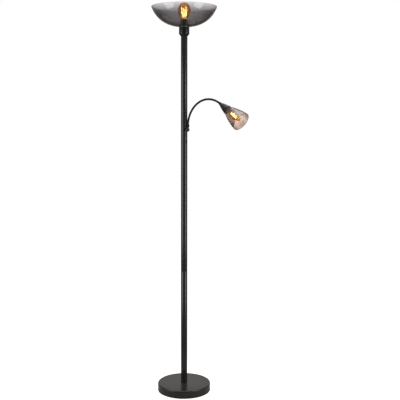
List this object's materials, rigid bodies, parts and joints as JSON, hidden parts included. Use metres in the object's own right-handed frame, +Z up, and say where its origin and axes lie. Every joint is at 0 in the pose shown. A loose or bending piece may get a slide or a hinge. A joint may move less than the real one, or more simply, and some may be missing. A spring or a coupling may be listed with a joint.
{
  "type": "torchiere floor lamp",
  "caption": "Floor lamp with a weighted round base, a straight pole, an upward smoked-glass bowl and a smoked-glass reading shade on a flexible neck.",
  "frame": {"origin": "centre of the floor pad's underside, on the floor", "axes": "+Z up along the pole, +X to the right as the lamp is seen from the front, -Y towards the viewer; the reading arm leans out between +X and -Y"},
  "size_m": [0.4352, 0.3979, 1.818],
  "materials": {
    "black_coat": "satin black powder coat",
    "neck_black": "matt black",
    "black_plastic": "moulded, fine texture",
    "key_plastic": "semi-gloss",
    "zinc_steel": "bright zinc plate",
    "cast_iron": "as cast",
    "brass": "bright",
    "nickel": "nickel plate",
    "rubber": "matt",
    "silicone": "matt",
    "felt": "felt",
    "ceramic": "glazed steatite",
    "lead_sheath": "PVC sheath",
    "smoked_glass": "smoked, polished",
    "amber_glass": "amber, polished",
    "clear_glass": "polished",
    "filament": "lit filament"
  },
  "bodies": {
    "stand": {"floor_pad": "felt", "base_weight": "cast_iron", "base_cover": "black_coat", "cord_grommet": "rubber", "base_nut": "zinc_steel", "base_washer": "zinc_steel", "base_nipple": "zinc_steel", "pole_lower": "black_coat", "pole_middle": "black_coat", "pole_upper": "black_coat", "pole_foot_insert": "zinc_steel", "pole_top_insert": "zinc_steel", "lower_joint_socket": "zinc_steel", "lower_joint_stud": "zinc_steel", "upper_joint_socket": "zinc_steel", "upper_joint_stud": "zinc_steel", "top_collar": "black_coat", "top_nipple": "zinc_steel", "top_nut": "zinc_steel", "e27_socket": "black_plastic", "e27_contact_insert": "ceramic", "e27_thread_shell": "brass", "bowl_gasket": "silicone", "bowl_glass": "smoked_glass", "bowl_ring": "black_plastic", "bowl_bulb_glass": "amber_glass", "bowl_bulb_cap": "nickel", "bowl_bulb_stem": "clear_glass", "bowl_bulb_filament": "filament", "switch_body_upper": "black_plastic", "switch_body_lower": "black_plastic", "arm_bracket": "black_coat", "arm_stud": "zinc_steel", "arm_saddle_washer": "zinc_steel", "arm_nut": "zinc_steel", "neck_ferrule_lower": "neck_black", "neck_anchor": "neck_black", "main_lead": "lead_sheath", "arm_lead": "lead_sheath"},
    "neck_part_1": {"neck_link_1": "neck_black"},
    "neck_part_2": {"neck_link_2": "neck_black"},
    "neck_part_3": {"neck_link_3": "neck_black"},
    "neck_part_4": {"neck_link_4": "neck_black"},
    "neck_part_5": {"neck_link_5": "neck_black"},
    "neck_part_6": {"neck_link_6": "neck_black"},
    "neck_part_7": {"neck_link_7": "neck_black"},
    "reading_head": {"neck_link_8": "neck_black", "neck_ferrule_upper": "neck_black", "head_cone": "black_coat", "head_nut": "zinc_steel", "e14_socket": "black_plastic", "e14_thread_shell": "brass", "shade_ring": "black_plastic", "reading_shade": "smoked_glass", "reading_bulb_glass": "amber_glass", "reading_bulb_cap": "nickel", "reading_bulb_filament": "filament"},
    "upper_switch": {"switch_key_upper": "key_plastic"},
    "lower_switch": {"switch_key_lower": "key_plastic"}
  },
  "joints": [
    {"name": "neck_bend", "type": "hinge", "parent": "stand", "child": "neck_part_1", "pos_m": [0.01843, -0.01546, 1.27635], "axis": [0.6428, 0.766, 0], "range_deg": [-18, 15]},
    {"name": "neck_sway", "type": "hinge", "parent": "neck_part_1", "child": "neck_part_2", "pos_m": [0.02482, -0.02082, 1.30715], "axis": [0.7066, -0.5929, -0.3864], "range_deg": [-18, 18]},
    {"name": "neck_bend_2", "type": "hinge", "parent": "neck_part_2", "child": "neck_part_3", "pos_m": [0.03715, -0.03117, 1.3347], "axis": [0.6428, 0.766, 0], "range_deg": [-18, 15]},
    {"name": "neck_sway_2", "type": "hinge", "parent": "neck_part_3", "child": "neck_part_4", "pos_m": [0.05457, -0.04579, 1.35708], "axis": [0.4607, -0.3865, -0.799], "range_deg": [-18, 18]},
    {"name": "neck_bend_3", "type": "hinge", "parent": "neck_part_4", "child": "neck_part_5", "pos_m": [0.07587, -0.06366, 1.37274], "axis": [0.6428, 0.766, 0], "range_deg": [-18, 15]},
    {"name": "neck_sway_3", "type": "hinge", "parent": "neck_part_5", "child": "neck_part_6", "pos_m": [0.09956, -0.08354, 1.38058], "axis": [0.0889, -0.0746, -0.9933], "range_deg": [-18, 18]},
    {"name": "neck_bend_4", "type": "hinge", "parent": "neck_part_6", "child": "neck_part_7", "pos_m": [0.124, -0.10405, 1.38007], "axis": [0.6428, 0.766, 0], "range_deg": [-18, 15]},
    {"name": "neck_sway_4", "type": "hinge", "parent": "neck_part_7", "child": "reading_head", "pos_m": [0.14749, -0.12375, 1.37124], "axis": [-0.3072, 0.2578, -0.9161], "range_deg": [-18, 18]},
    {"name": "upper_switch_rock", "type": "hinge", "parent": "stand", "child": "upper_switch", "pos_m": [0.00797, -0.00668, 1.221], "axis": [0.6428, 0.766, 0], "range_deg": [0, 16]},
    {"name": "lower_switch_rock", "type": "hinge", "parent": "stand", "child": "lower_switch", "pos_m": [0.00797, -0.00668, 1.189], "axis": [0.6428, 0.766, 0], "range_deg": [0, 16]}
  ],
  "couplings": [
    {"joint": "neck_bend_2", "follows": "neck_bend", "ratio": 1},
    {"joint": "neck_sway_2", "follows": "neck_sway", "ratio": 1},
    {"joint": "neck_bend_3", "follows": "neck_bend", "ratio": 1},
    {"joint": "neck_sway_3", "follows": "neck_sway", "ratio": 1},
    {"joint": "neck_bend_4", "follows": "neck_bend", "ratio": 1},
    {"joint": "neck_sway_4", "follows": "neck_sway", "ratio": 1}
  ]
}
